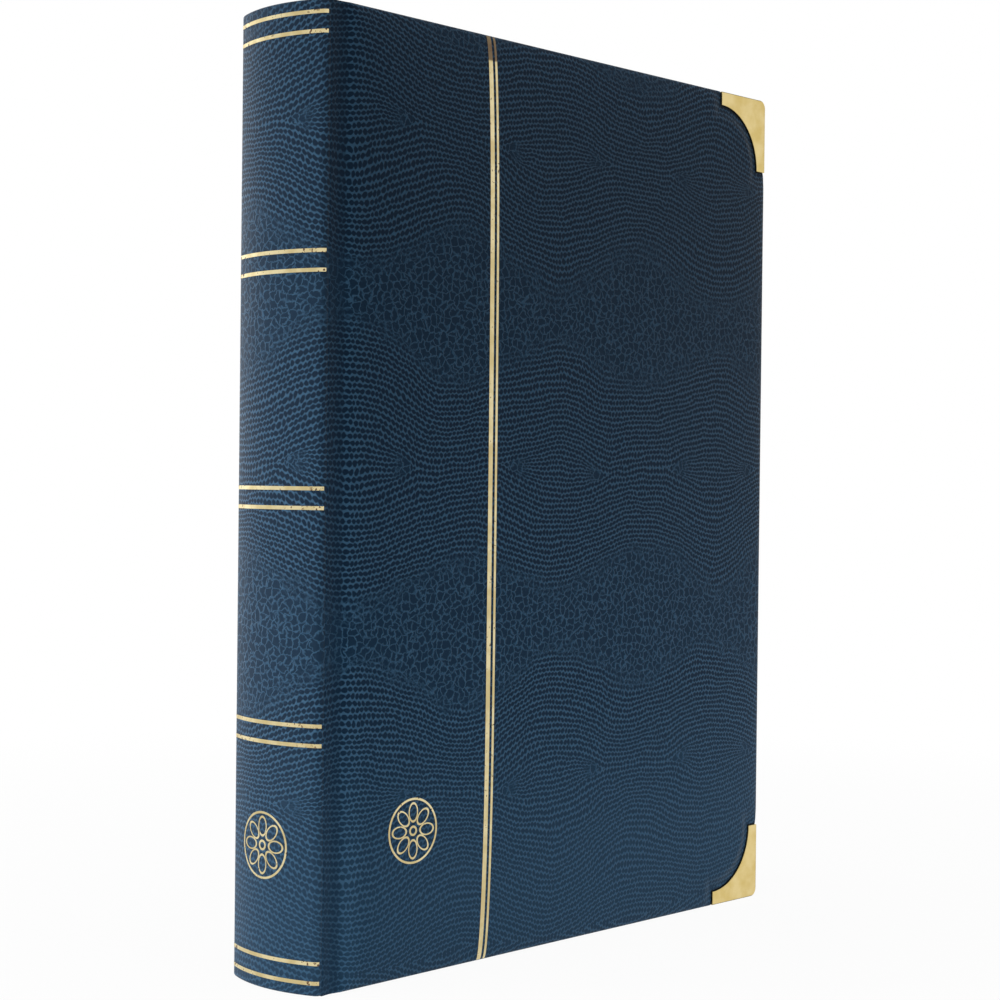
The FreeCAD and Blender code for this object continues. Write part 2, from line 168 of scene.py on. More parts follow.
grey_board = Finish("grey_board", {"Roughness": 0.85})
flecks = grey_board.noise(grey_board.place(), FLECK_SCALE, 4.0, 0.6)
grey_board.feed({"Base Color": grey_board.mix(flecks.rise(0.5, 0.7), BOARD_GREY, BOARD_FLECK),
                 "Normal": grey_board.bump(flecks, FLECK_HEIGHT)})
for node in ("front_board", "rear_board", "front_infill", "rear_infill", "spine_board"):
    grey_board.wear(frame["nodes"][node])

# Foam: a pad on each cover board, pressed thin at the edges where the leatherette is drawn down and
# full in the middle. The metal corners press it flat at the fore-edge.
LEATHER = 0.4 * MM
CROWN_REACH = 72 * MM
CROWN_POWER = 0.36
CORNER_LEG = 27.3 * MM
CORNER_END = 5 * MM
CORNER_METAL = 0.4 * MM
CREVICE = 0.5 * MM
CREVICE_RISE = 6 * MM
CREVICE_FLOOR = 0.1 * MM
HAIR = 0.01 * MM
FOAM_STEP = 4 * MM
FOAM_GAP = 0.15 * MM
FOAM_FOOT = 0.02 * MM
PORE_SCALE = 1600.0
PORE_DEPTH = 0.2 * MM
FOAM_CREAM = shade(226, 220, 202)
FOAM_SHADE = shade(196, 188, 166)

board_low, board_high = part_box("front_board")
cover_low, cover_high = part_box("front_covering")
corner_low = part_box("front_lower_corner")[0]
head = cover_high.z
fore_edge = cover_high.x
cover_x = board_low.x - LEATHER
rim_y = board_low.y - LEATHER
pressed_y = corner_low.y + CORNER_METAL + CREVICE_FLOOR


def ease(value, low, high):
    """0 below low, 1 above high, and a soft slope between them."""
    share = min(max((value - low) / (high - low), 0.0), 1.0)
    return share * share * (3 - 2 * share)


def beyond_metal(x, z):
    """Distance outside a metal corner's outline, below 0 under the metal."""
    z = min(z, head - z)
    hollow = math.hypot(x - (fore_edge - CORNER_LEG), z - CORNER_LEG) - (CORNER_LEG - CORNER_END)
    return max(fore_edge - CORNER_LEG - x, z - CORNER_LEG, -hollow)


def crown_y(x, z):
    """Level of the leatherette over the front cover's pad, with a crevice round the metal corners."""
    edges = [max(gap, HAIR) for gap in (x - cover_x, fore_edge - x, z, head - z)]
    inside = sum(gap ** -3 for gap in edges) ** (-1 / 3)
    full = rim_y + (cover_low.y - rim_y) * min(inside / CROWN_REACH, 1.0) ** CROWN_POWER
    press = 1 - ease(beyond_metal(x, z), CREVICE, CREVICE + CREVICE_RISE)
    return full + (max(full, pressed_y) - full) * press


def clear_selection():
    if bpy.context.object and bpy.context.object.mode != "OBJECT":
        bpy.ops.object.mode_set(mode="OBJECT")
    bpy.ops.object.select_all(action="DESELECT")


def open_mesh(piece):
    """Go into edit mode on one piece, with nothing selected in it."""
    clear_selection()
    piece.select_set(True)
    bpy.context.view_layer.objects.active = piece
    bpy.ops.object.mode_set(mode="EDIT")
    bpy.ops.mesh.select_mode(type="EDGE")
    bpy.ops.mesh.select_all(action="DESELECT")
    return bmesh.from_edit_mesh(piece.data)


def select_edges(piece, test):
    mesh = open_mesh(piece)
    for edge in mesh.edges:
        edge.select_set(test(edge))
    bmesh.update_edit_mesh(piece.data)


def upright_grid(name, x_span, z_span, step):
    """A flat grid of squares standing in the plane of a cover, at y = 0."""
    clear_selection()
    width = x_span[1] - x_span[0]
    height = z_span[1] - z_span[0]
    bpy.ops.mesh.primitive_grid_add(
        x_subdivisions=max(1, round(width / step)), y_subdivisions=max(1, round(height / step)), size=1,
        calc_uvs=False, location=(sum(x_span) / 2, 0, sum(z_span) / 2), rotation=(math.pi / 2, 0, 0))
    grid = bpy.context.object
    grid.name = grid.data.name = name
    grid.scale = (width, height, 1)
    bpy.ops.object.transform_apply(location=True, rotation=True, scale=True)
    return grid


def extrude_edges(piece, move):
    """Carry the selected edges on, with move giving each new corner's place."""
    bpy.ops.mesh.extrude_edges_move()
    mesh = bmesh.from_edit_mesh(piece.data)
    for corner in mesh.verts:
        if corner.select:
            corner.co = move(corner.co)
    bmesh.update_edit_mesh(piece.data)


def finish_mesh(piece, smooth=math.radians(50)):
    """Leave edit mode with the faces outwards and soft shading up to an angle."""
    open_mesh(piece)
    bpy.ops.mesh.select_all(action="SELECT")
    bpy.ops.mesh.remove_doubles(threshold=HAIR / 10)
    bpy.ops.mesh.normals_make_consistent(inside=False)
    bpy.ops.object.mode_set(mode="OBJECT")
    bpy.ops.object.shade_smooth_by_angle(angle=smooth)


def apply_modifier(piece, kind, **settings):
    bpy.context.view_layer.objects.active = piece
    modifier = piece.modifiers.new(kind.title(), kind)
    for name, value in settings.items():
        setattr(modifier, name, value)
    bpy.ops.object.modifier_apply(modifier=modifier.name)


def twin(piece, name, mirrored=False, shift=(0, 0, 0)):
    """A copy with its own mesh, turned over in the middle plane of the album or moved."""
    clear_selection()
    copy = piece.copy()
    copy.data = piece.data.copy()
    copy.name = copy.data.name = name
    bpy.context.collection.objects.link(copy)
    if mirrored:
        copy.data.transform(Matrix.Scale(-1, 4, (0, 1, 0)))
        copy.data.flip_normals()
    copy.data.transform(Matrix.Translation(shift))
    return copy


front_foam = upright_grid("front_foam", (board_low.x + FOAM_GAP, board_high.x - FOAM_GAP),
                          (board_low.z + FOAM_GAP, board_high.z - FOAM_GAP), FOAM_STEP)
for point in front_foam.data.vertices:
    under_skin = crown_y(point.co.x, point.co.z) + LEATHER + FOAM_GAP
    point.co.y = min(under_skin, board_low.y - FOAM_GAP)
select_edges(front_foam, lambda edge: edge.is_boundary)
extrude_edges(front_foam, lambda corner: Vector((corner.x, board_low.y - FOAM_FOOT, corner.z)))
bpy.ops.mesh.edge_face_add()
finish_mesh(front_foam)
rear_foam = twin(front_foam, "rear_foam", mirrored=True)

foam = Finish("foam", {"Roughness": 0.9})
pores = foam.noise(foam.place(), PORE_SCALE, 3.0)
foam.feed({"Base Color": foam.mix(pores.rise(0.4, 0.65), FOAM_CREAM, FOAM_SHADE),
           "Normal": foam.bump(pores, PORE_DEPTH)})
foam.wear(front_foam, rear_foam)
for side, piece in (("front", front_foam), ("rear", rear_foam)):
    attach(piece, f"{side}_cover")
    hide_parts(f"{side}_padding")

# Leatherette of the covers: embossed navy sheet, drawn over pad and board, pressed down into the
# joint beside the spine and folded in round the edges.
SKIN_STEP = 1.6 * MM
CORNER_CUTS = 3
FACE_INSET = 3 * MM
RIM_INSETS = (1.6 * MM, 0.8 * MM, 0.35 * MM, 0.0)
TURN_IN = 14 * MM
GROOVE_DEPTH = 0.4 * MM
SKIN_WALL = 0.3 * MM
SHOULDER = 2.5 * MM
JOINT_STEPS = 12
JOINT_FOLD = 0.9 * MM
EDGE_PULL = 0.55 * MM
PULL_FADE = (0.1 * MM, 0.9 * MM)
EDGE_FOLD = ((0.0, 0.35), (0.0, 0.7), (0.15 * MM, 0.92), (0.6 * MM, 1.0), (TURN_IN, 1.0))
EDGE_RUN = 2.8 * MM
FOLD_START = 0.2 * MM

fold_places = {joint["name"]: Vector(joint["pos_m"]) for joint in frame["joints"]}
hinge = fold_places["front_cover_hinge"]
band_low, band_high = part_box("spine_bands")
crown_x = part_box("spine_covering")[0].x
arch_half = band_high.y
arch_rise = band_high.x - crown_x
arch_radius = (arch_half ** 2 + arch_rise ** 2) / (2 * arch_rise)
arch_centre = crown_x + arch_radius
shoulder_y = abs(hinge.y) - SHOULDER
shoulder_x = arch_centre - math.sqrt((arch_radius - SHOULDER) ** 2 - shoulder_y ** 2)
arch_turn = math.asin(shoulder_y / (arch_radius - SHOULDER))
arch_run = arch_radius * arch_turn
spine_run = arch_run + SHOULDER * (math.pi / 2 - arch_turn)


def joint_y(x):
    """Level of the leatherette between the spine's shoulder and the cover: a shallow pressed groove."""
    share = min(max((x - shoulder_x) / (cover_x - shoulder_x), 0.0), 1.0)
    return hinge.y + (rim_y - hinge.y) * share + GROOVE_DEPTH * math.sin(math.pi * share) ** 2


front_skin = upright_grid("front_leatherette", (cover_x + FACE_INSET, fore_edge - FACE_INSET),
                          (FACE_INSET, head - FACE_INSET), SKIN_STEP)
select_edges(front_skin, lambda edge: all(
    corner.co.x > fore_edge - CORNER_LEG - 2 * SKIN_STEP
    and min(corner.co.z, head - corner.co.z) < CORNER_LEG + 2 * SKIN_STEP for corner in edge.verts))
bpy.ops.mesh.subdivide(number_cuts=CORNER_CUTS)
middle = Vector(((cover_x + fore_edge) / 2, 0, head / 2))
inset = FACE_INSET
for next_inset in RIM_INSETS:
    select_edges(front_skin, lambda edge: edge.is_boundary)
    stretch_x = ((fore_edge - cover_x) / 2 - next_inset) / ((fore_edge - cover_x) / 2 - inset)
    stretch_z = (head / 2 - next_inset) / (head / 2 - inset)
    bpy.ops.mesh.extrude_edges_move()
    bpy.ops.transform.resize(value=(stretch_x, 1, stretch_z), center_override=middle)
    inset = next_inset
bpy.ops.object.mode_set(mode="OBJECT")
for point in front_skin.data.vertices:
    point.co.y = crown_y(point.co.x, point.co.z)

select_edges(front_skin, lambda edge: edge.is_boundary and all(
    corner.co.x < cover_x + HAIR for corner in edge.verts))
for step in range(1, JOINT_STEPS + 1):
    x = cover_x + (shoulder_x - cover_x) * step / JOINT_STEPS
    extrude_edges(front_skin, lambda corner: Vector((x, joint_y(x), corner.z)))

select_edges(front_skin, lambda edge: edge.is_boundary and any(
    corner.co.x > shoulder_x + HAIR for corner in edge.verts))
sheet_width = fore_edge - shoulder_x
inset = 0.0
for next_inset, share in EDGE_FOLD:
    def fold(corner, inset=inset, next_inset=next_inset, share=share):
        x = shoulder_x + (corner.x - shoulder_x) * (sheet_width - next_inset) / (sheet_width - inset)
        z = head / 2 + (corner.z - head / 2) * (head / 2 - next_inset) / (head / 2 - inset)
        outer = joint_y(corner.x) if corner.x < cover_x else rim_y
        inner = outer + JOINT_FOLD if corner.x < cover_x else cover_high.y
        return Vector((x, outer + (inner - outer) * share, z))
    extrude_edges(front_skin, fold)
    inset = next_inset
bpy.ops.object.mode_set(mode="OBJECT")

for point in front_skin.data.vertices:
    pull = EDGE_PULL * (1 - ease(beyond_metal(point.co.x, point.co.z), *PULL_FADE))
    if fore_edge - point.co.x < EDGE_PULL:
        point.co.x -= pull
    if point.co.z < EDGE_PULL:
        point.co.z += pull
    if head - point.co.z < EDGE_PULL:
        point.co.z -= pull


def front_flat(place):
    """Where a point of the folded cover sheet lay on the flat sheet, counted from the spine's middle."""
    surface = joint_y(place.x) if place.x < cover_x else crown_y(place.x, place.z)
    drop = max(place.y - surface, 0.0)
    across, up = place.x - shoulder_x + spine_run, place.z
    to_head, to_tail, to_fore = head - place.z, place.z, fore_edge - place.x
    if drop < FOLD_START:
        return across, up
    if to_fore < min(to_head, to_tail):
        return across + drop + 2 * to_fore, up
    return across, up + (drop + 2 * to_head if to_head < to_tail else -drop - 2 * to_tail)


def lay_out(piece, flat_place):
    """A UV map, in metres, of each corner's place on the sheet before it was folded."""
    layer = piece.data.uv_layers.new(name="sheet")
    for loop in piece.data.loops:
        layer.data[loop.index].uv = flat_place(piece.data.vertices[loop.vertex_index].co)


lay_out(front_skin, front_flat)
finish_mesh(front_skin)
apply_modifier(front_skin, "SOLIDIFY", thickness=SKIN_WALL, offset=-1.0)
rear_skin = twin(front_skin, "rear_leatherette", mirrored=True)
for corner in rear_skin.data.uv_layers["sheet"].data:
    corner.uv.x = -corner.uv.x

# Its grain is rolled into the flat sheet, so these lengths are mm on that sheet: rows of pits, pushed
# apart by lens-shaped swells, and bands of larger cells. Towards the tail pits and ridges are drawn to one
# level.
PIT_NAVY = shade(4, 24, 41)
CELL_NAVY = shade(7, 30, 48)
RIDGE_NAVY = shade(41, 70, 93)
# Painted shade: near black laid on the leatherette just outside the metal corners, for the shadow in the
# crevice beside the metal.
CREVICE_SHADE_PAINT = shade(2, 6, 10)
CREVICE_SHADE_FADE = (0.35, 1.0)
PIT_WIDTH = 1.8
PIT_ROW = 1.95
PIT_EDGE = (-1.45, 0.0)
PIT_STAGGER = 1.6
PIT_LINE = 1.2
PATCH_SCALE = 0.6
PATCH_SHARE = 2.4
DRIFT_SCALE = 0.02
WOBBLE_SCALE = 0.14
ROW_WOBBLE = 2.4
COLUMN_WOBBLE = 3.0
LENS_ROWS = 3.5
LENS_PITCH = 91.0
LENS_ACROSS = -8.0
LENS_UP = 163.0
LENS_SPREAD = 0.37
LENS_DRIFT = 12.0
LENS_TIP = 0.2
LENS_CALM = 20.0
BEYOND_TIP = 60.0
TIP_SQUEEZE = (0.3, 0.7)
TIP_FADE = 1.5
BAND_PITCH = 106.0
BAND_START = 42.0
BAND_FADE = (5.0, 8.0)
BAND_DRIFT = 10.0
BAND_RAGGED = 16.0
BAND_LOWEST = (22.0, 45.0)
COARSE_CELL = 2.6
COARSE_LINE = 0.45
COARSE_CRINKLE = 3.2
CRINKLE_SCALE = 0.5
DUST_SCALE = 3.0
JOINT_FLATTEN_AND_SHADE = 0.4
RIM_HIGHLIGHT_LIFT = 0.35
TAIL_EVEN_UP = (15.0, 100.0)
TAIL_EVEN_LEVEL = 0.6
TAIL_EVEN_SHARE = 0.4
RIM_HIGHLIGHT_RUN = (2.0, 9.0)
SPINE_POLISH = 0.14
GRAIN_DEPTH = 0.18 * MM

leatherette = Finish("leatherette", {"Specular IOR Level": 0.07, "Coat Roughness": 0.5})
sheet_place = leatherette.node("ShaderNodeUVMap", {"uv_map": "sheet"})
in_mm = leatherette.node("ShaderNodeVectorMath", {"operation": "SCALE"}, {0: sheet_place, "Scale": 1 / MM})
across, up, _ = leatherette.split(in_mm)
drift_x, drift_z, drift_band = leatherette.split(leatherette.noise(in_mm, DRIFT_SCALE, 1.0, output=1))
wobble_x, wobble_z, uneven = leatherette.split(leatherette.noise(in_mm, WOBBLE_SCALE, 2.0, output=1))

lens_height = LENS_ROWS * PIT_ROW
lens_middle = (spine_run - shoulder_x) / MM + LENS_ACROSS
arc = (across + (drift_x - 0.5) * LENS_DRIFT - lens_middle).wave(LENS_PITCH)
bulge = (arc + LENS_SPREAD) / (1 + LENS_SPREAD)
height = up + (drift_z - 0.5) * LENS_DRIFT + (wobble_z - 0.5) * ROW_WOBBLE - LENS_UP
from_lens = height.math("PINGPONG", BAND_PITCH / 2)
outside_tip = 1 - bulge.rise(LENS_TIP / 4, LENS_TIP)
in_lens = from_lens / bulge.math("MAXIMUM", LENS_TIP) + outside_tip * BEYOND_TIP
swell = bulge.math("MAXIMUM", 0.0) + bulge.math("MINIMUM", 0.0) * from_lens.rise(0.0, LENS_CALM)
past_lens = in_lens - from_lens - (1 - swell) * lens_height
row = in_lens - past_lens.math("MAXIMUM", 0.0)
squeezed = (1 - bulge.rise(*TIP_SQUEEZE)) * (1 - past_lens.rise(-TIP_FADE, TIP_FADE))
column = across + (wobble_x - 0.5) * COLUMN_WOBBLE

patchy = leatherette.noise(in_mm, PATCH_SCALE, 2.0)
lattice = column.wave(PIT_WIDTH) * row.wave(2 * PIT_ROW) * PIT_STAGGER + row.wave(PIT_ROW) * PIT_LINE
fine = 1 - (lattice + (patchy - 0.5) * PATCH_SHARE).rise(*PIT_EDGE)
crinkle_x, crinkle_z, thin = leatherette.split(leatherette.noise(in_mm, CRINKLE_SCALE, 2.0, output=1))
crinkled = leatherette.join(column + (crinkle_x - 0.5) * COARSE_CRINKLE,
                            up + (crinkle_z - 0.5) * COARSE_CRINKLE)
cells = leatherette.node("ShaderNodeTexVoronoi", {"feature": "DISTANCE_TO_EDGE", "voronoi_dimensions": "2D"},
                         {"Vector": crinkled, "Scale": 1 / COARSE_CELL})
coarse = (1 - (cells * COARSE_CELL).rise(0.0, COARSE_LINE)) * (0.2 + thin * 1.2)
bent_row = row + (1 - swell) * lens_height * 0.5
loose = bent_row + (drift_band - 0.5) * BAND_DRIFT + (uneven - 0.5) * BAND_RAGGED
in_band = loose.rise(BAND_START - BAND_FADE[0], BAND_START + BAND_FADE[1]) * up.rise(*BAND_LOWEST)
large = in_band.math("MAXIMUM", squeezed)
embossed = fine + (coarse - fine) * large
# Over the lowest 100 mm the ridge mask is drawn towards one middle level: less contrast between pits and
# ridges, and shallower relief.
tail_evening = 1 - up.rise(*TAIL_EVEN_UP)
ridge = embossed + (TAIL_EVEN_LEVEL - embossed) * tail_evening * TAIL_EVEN_SHARE

from_middle = across.math("ABSOLUTE")
# Painted shade: within about a millimetre outside each metal corner's outline the leatherette is coloured
# near black, standing in for the shadow in the crevice there.
to_fore = (fore_edge - shoulder_x + spine_run) / MM - from_middle - CORNER_LEG / MM
to_end = up.math("PINGPONG", head / 2 / MM) - CORNER_LEG / MM
hollow = (CORNER_LEG - CORNER_END) / MM - (to_fore * to_fore + to_end * to_end).math("SQRT")
beyond = hollow.math("MAXIMUM", to_fore.math("MAXIMUM", to_end))
crevice = 1 - beyond.rise(*CREVICE_SHADE_FADE)

joint_start = spine_run / MM
joint_end = (spine_run + cover_x - shoulder_x) / MM
# Partly real, partly painted shade: in the joint the grain is pressed flatter, and its paler ridge colour is
# cut back, which paints the groove darker in place of the shade that falls in it.
in_joint = (from_middle.rise(joint_start - 0.5, joint_start + 0.5)
            * (1 - from_middle.rise(joint_end - 1.5, joint_end)))
# Painted highlight: a paler strip on the cover just past the joint, over the board's edge, standing in for
# the light that this rim catches.
rim_highlight = (from_middle.rise(joint_end - 1.0, joint_end + 0.5)
             * (1 - from_middle.rise(joint_end + RIM_HIGHLIGHT_RUN[0], joint_end + RIM_HIGHLIGHT_RUN[1])))
on_back = 1 - from_middle.rise(joint_start - 1.0, joint_start + 1.0)
dust = leatherette.noise(in_mm, DUST_SCALE, 2.0)
pit_colour = leatherette.mix(large, PIT_NAVY, CELL_NAVY)
# Ridge colour with painted light: darker in the joint (painted shade) and paler on the board's rim (painted
# highlight).
joint_shade_and_rim_highlight = 1 - in_joint * JOINT_FLATTEN_AND_SHADE + rim_highlight * RIM_HIGHLIGHT_LIFT
skin_colour = leatherette.mix(ridge * joint_shade_and_rim_highlight + (dust - 0.5) * 0.25, pit_colour, RIDGE_NAVY)
relief = ridge * (1 - in_joint * JOINT_FLATTEN_AND_SHADE) + dust * 0.2
# The base colour carries the painted crevice shade round the metal corners.
leatherette.feed({"Base Color": leatherette.mix(crevice, skin_colour, CREVICE_SHADE_PAINT),
                  "Coat Weight": on_back * SPINE_POLISH,
                  "Roughness": 0.5 - ridge * 0.1 + (dust - 0.5) * 0.1,
                  "Normal": leatherette.bump(relief, GRAIN_DEPTH, 0.9)})
leatherette.wear(front_skin, rear_skin)

skin_flat = (sheet_width + EDGE_RUN + TURN_IN, head + 2 * (EDGE_RUN + TURN_IN))
for side, piece, way in (("front", front_skin, -1), ("rear", rear_skin, 1)):
    hinge_y = way * abs(hinge.y)
    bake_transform(piece)
    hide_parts(f"{side}_covering")

# Leatherette of the spine: the middle of the same sheet, moulded round the bent card. It rounds over
# into the joints at both sides and is rolled in over the card at head and tail.
SPINE_STEP = 1.0 * MM
SPINE_WALL = 1.7 * MM
SPINE_ROLL = SPINE_WALL / 2
ROLL_STEPS = 7


def spine_point(across, up, lift=0.0):
    """Place of a point of the spine's sheet, by its distance across and up the flat sheet."""
    run = abs(across)
    if run < arch_run:
        centre_x, centre_y, radius, turn = arch_centre, 0.0, arch_radius, run / arch_radius
    else:
        centre_x, centre_y, radius = shoulder_x, shoulder_y, SHOULDER
        turn = arch_turn + (run - arch_run) / SHOULDER
    past = max(SPINE_ROLL - up, up - head + SPINE_ROLL, 0.0)
    roll = min(past / SPINE_ROLL, math.pi)
    radius += lift - SPINE_ROLL * (1 - math.cos(roll))
    end_z = SPINE_ROLL * math.sin(roll) - max(past - math.pi * SPINE_ROLL, 0.0)
    z = min(max(up, SPINE_ROLL), head - SPINE_ROLL) + (end_z if up > head / 2 else -end_z)
    aside = centre_y + radius * math.sin(turn)
    return Vector((centre_x - radius * math.cos(turn), -math.copysign(aside, across), z))


spine_skin = upright_grid("spine_leatherette", (-spine_run, spine_run),
                          (SPINE_ROLL, head - SPINE_ROLL), SPINE_STEP)
roll_run = math.pi * SPINE_ROLL
for way, edge_z in ((-1, SPINE_ROLL), (1, head - SPINE_ROLL)):
    select_edges(spine_skin, lambda edge: edge.is_boundary and all(
        abs(corner.co.z - edge_z) < HAIR for corner in edge.verts))
    for run in [roll_run * step / ROLL_STEPS for step in range(1, ROLL_STEPS + 1)] + [roll_run + TURN_IN]:
        extrude_edges(spine_skin, lambda corner: Vector((corner.x, 0, edge_z + way * run)))
    bpy.ops.object.mode_set(mode="OBJECT")
lay_out(spine_skin, lambda place: (place.x, place.z))
for point in spine_skin.data.vertices:
    point.co = spine_point(point.co.x, point.co.z)
finish_mesh(spine_skin)
apply_modifier(spine_skin, "SOLIDIFY", thickness=SKIN_WALL, offset=-1.0)
leatherette.wear(spine_skin)
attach(spine_skin, "spine")
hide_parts("spine_covering")
2 * spine_run

# Gold foil: hot-stamped into the leatherette. Five pairs of lines go round the spine, a broad and a
# fine stripe run down the front cover, and a plain rosette stands low on both.
FOIL_STEP = 0.6 * MM
FOIL_LIFT = 0.05 * MM
LINE_WIDTH = 1.2 * MM
LINE_PAIR = 6 * MM
LINE_PAIRS = 5
STRIPE_BROAD = 1.9 * MM
STRIPE_FINE = 1.0 * MM
STRIPE_END = 0.3 * MM
ROSETTE_RADIUS = 10.5 * MM
ROSETTE_LINE = 0.7 * MM
PETALS = 8
PETAL_SIZE = 0.31
PETAL_OUT = 0.56
PETAL_WIDTH = 0.62
HEART_SIZE = 0.16
FRONT_ROSETTE = Vector((-73 * MM, 0, 47 * MM))
SPINE_ROSETTE = Vector((-1 * MM, 0, 44.5 * MM))
FOIL_GOLD = shade(206, 188, 138)
FOIL_PALE = shade(226, 212, 168)
# Dull brown: where the foil is missing in specks, and over the front stripes' top end.
FOIL_DULL_BROWN = shade(86, 56, 28)
DARK_HEAD_RUN = 8.5 * MM
DARK_HEAD_FADE = 0.4 * MM
SHOULDER_WEAR = (9 * MM, 17 * MM)
CLOUD_SCALE = 150.0
SPECK_SCALE = 900.0
SPECK_DEPTH = 0.04 * MM


def join_pieces(name, pieces):
    clear_selection()
    for piece in pieces:
        piece.select_set(True)
    bpy.context.view_layer.objects.active = pieces[0]
    bpy.ops.object.join()
    joined = bpy.context.object
    joined.name = joined.data.name = name
    return joined


def stamp(piece, place):
    """Press a flat outline on the leatherette, at the place that each of its points takes there."""
    for point in piece.data.vertices:
        point.co = place(point.co.x, point.co.z)
    finish_mesh(piece)


def on_cover(x, z):
    return Vector((x, crown_y(x, z) - FOIL_LIFT, z))


def on_spine(across, up):
    return spine_point(across, up, FOIL_LIFT)


def foil_ring(radius, points):
    """A flat ring of foil in the plane of the front cover, round the origin."""
    clear_selection()
    bpy.ops.mesh.primitive_circle_add(vertices=points, radius=radius, rotation=(math.pi / 2, 0, 0))
    bpy.ops.object.transform_apply(rotation=True)
    ring = bpy.context.object
    bpy.ops.object.mode_set(mode="EDIT")
    bpy.ops.mesh.select_all(action="SELECT")
    bpy.ops.mesh.extrude_edges_move()
    inner = 1 - ROSETTE_LINE / radius
    bpy.ops.transform.resize(value=(inner, 1, inner), center_override=(0, 0, 0))
    bpy.ops.object.mode_set(mode="OBJECT")
    return ring


def rosette(name, place):
    """A ring with eight narrow rings round a small one, in the plane of the front cover."""
    rings = [foil_ring(ROSETTE_RADIUS, points=96), foil_ring(ROSETTE_RADIUS * HEART_SIZE, points=32)]
    for petal in range(PETALS):
        ring = foil_ring(ROSETTE_RADIUS * PETAL_SIZE, points=48)
        ring.data.transform(Matrix.Rotation(2 * math.pi * petal / PETALS, 4, "Y")
                            @ Matrix.Translation((0, 0, ROSETTE_RADIUS * PETAL_OUT))
                            @ Matrix.Scale(PETAL_WIDTH, 4, (1, 0, 0)))
        rings.append(ring)
    piece = join_pieces(name, rings)
    piece.data.transform(Matrix.Translation(place))
    return piece


stripe_low, stripe_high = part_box("front_stripes")
stripe_ends = (STRIPE_END, head - STRIPE_END)
front_stripes = join_pieces("front_gold_stripes", [
    upright_grid("broad", (stripe_low.x, stripe_low.x + STRIPE_BROAD), stripe_ends, FOIL_STEP),
    upright_grid("fine", (stripe_high.x - STRIPE_FINE, stripe_high.x), stripe_ends, FOIL_STEP)])
stamp(front_stripes, on_cover)
front_rosette = rosette("front_rosette", FRONT_ROSETTE)
stamp(front_rosette, on_cover)

line_half = arch_run + SHOULDER * (math.asin((band_high.y - shoulder_y) / SHOULDER) - arch_turn)
lines = []
for pair in range(LINE_PAIRS):
    low = band_low.z + (band_high.z - band_low.z - LINE_PAIR - LINE_WIDTH) * pair / (LINE_PAIRS - 1)
    for z in (low, low + LINE_PAIR):
        lines.append(upright_grid("line", (-line_half, line_half), (z, z + LINE_WIDTH), FOIL_STEP))
spine_lines = join_pieces("spine_gold_lines", lines)
stamp(spine_lines, on_spine)
spine_rosette = rosette("spine_rosette", SPINE_ROSETTE)
stamp(spine_rosette, on_spine)

gold_foil = Finish("gold_foil", {})
foil_place = gold_foil.place()
cloud = gold_foil.noise(foil_place, CLOUD_SCALE, 3.0)
speck = gold_foil.noise(foil_place, SPECK_SCALE, 2.0)
x, y, z = gold_foil.split(foil_place)
round_shoulder = y.math("ABSOLUTE").rise(*SHOULDER_WEAR) * (1 - x.rise(hinge.x, cover_x))
dull_foil = (speck + round_shoulder * 0.08).rise(0.63, 0.7) * (cloud + round_shoulder * 0.1).rise(0.45, 0.6)
# On the front cover the stripes' top 8.5 mm turn dull brown and lose half their metal.
near_head = z.rise(head - DARK_HEAD_RUN - DARK_HEAD_FADE, head - DARK_HEAD_RUN + DARK_HEAD_FADE)
head_darkening = near_head * x.rise(cover_x, cover_x + MM)
dull_foil = dull_foil.math("MAXIMUM", head_darkening * (0.6 + cloud * 0.5))
foil_colour = gold_foil.mix(cloud.rise(0.35, 0.65), FOIL_GOLD, FOIL_PALE)
gold_foil.feed({"Base Color": gold_foil.mix(dull_foil, foil_colour, FOIL_DULL_BROWN), "Metallic": 1 - dull_foil * 0.5,
                "Roughness": 0.36 + speck * 0.15, "Normal": gold_foil.bump(speck, SPECK_DEPTH)})
gold_foil.wear(front_stripes, spine_lines, front_rosette, spine_rosette)
for piece, body in ((front_stripes, "front_cover"), (front_rosette, "front_cover"),
                    (spine_lines, "spine"), (spine_rosette, "spine")):
    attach(piece, body)
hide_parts("front_stripes")
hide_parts("spine_bands")

# Metal corners: thin brass-plated sheet, pressed and folded over the fore-edge corners of both
# covers, with a hollow inner edge. The folds are rounded, and the plating has a satin polish.
CORNER_EDGE = 0.12 * MM
EDGE_SHADE_WIDTH = 0.4 * MM
GILT = shade(214, 190, 120)
GILT_PALE = shade(228, 208, 150)
# Painted shade for the corners' rounded outer folds.
GILT_EDGE_SHADE = shade(84, 74, 44)
TARNISH_SCALE = 140.0
SCUFF_SCALE = (300.0, 300.0, 2500.0)
SCUFF_DEPTH = 0.01 * MM
METAL_FOLD = math.radians(40)
METAL_FLAT = math.radians(1)

gilt_metal = Finish("gilt_metal", {"Metallic": 1.0})
gilt_place = gilt_metal.place()
tarnish = gilt_metal.noise(gilt_place, TARNISH_SCALE, 3.0)
brushed = gilt_metal.node("ShaderNodeMapping", None, {0: gilt_place, "Scale": SCUFF_SCALE})
scuffs = gilt_metal.noise(brushed, 1.0, 2.0)
x, y, z = gilt_metal.split(gilt_place)
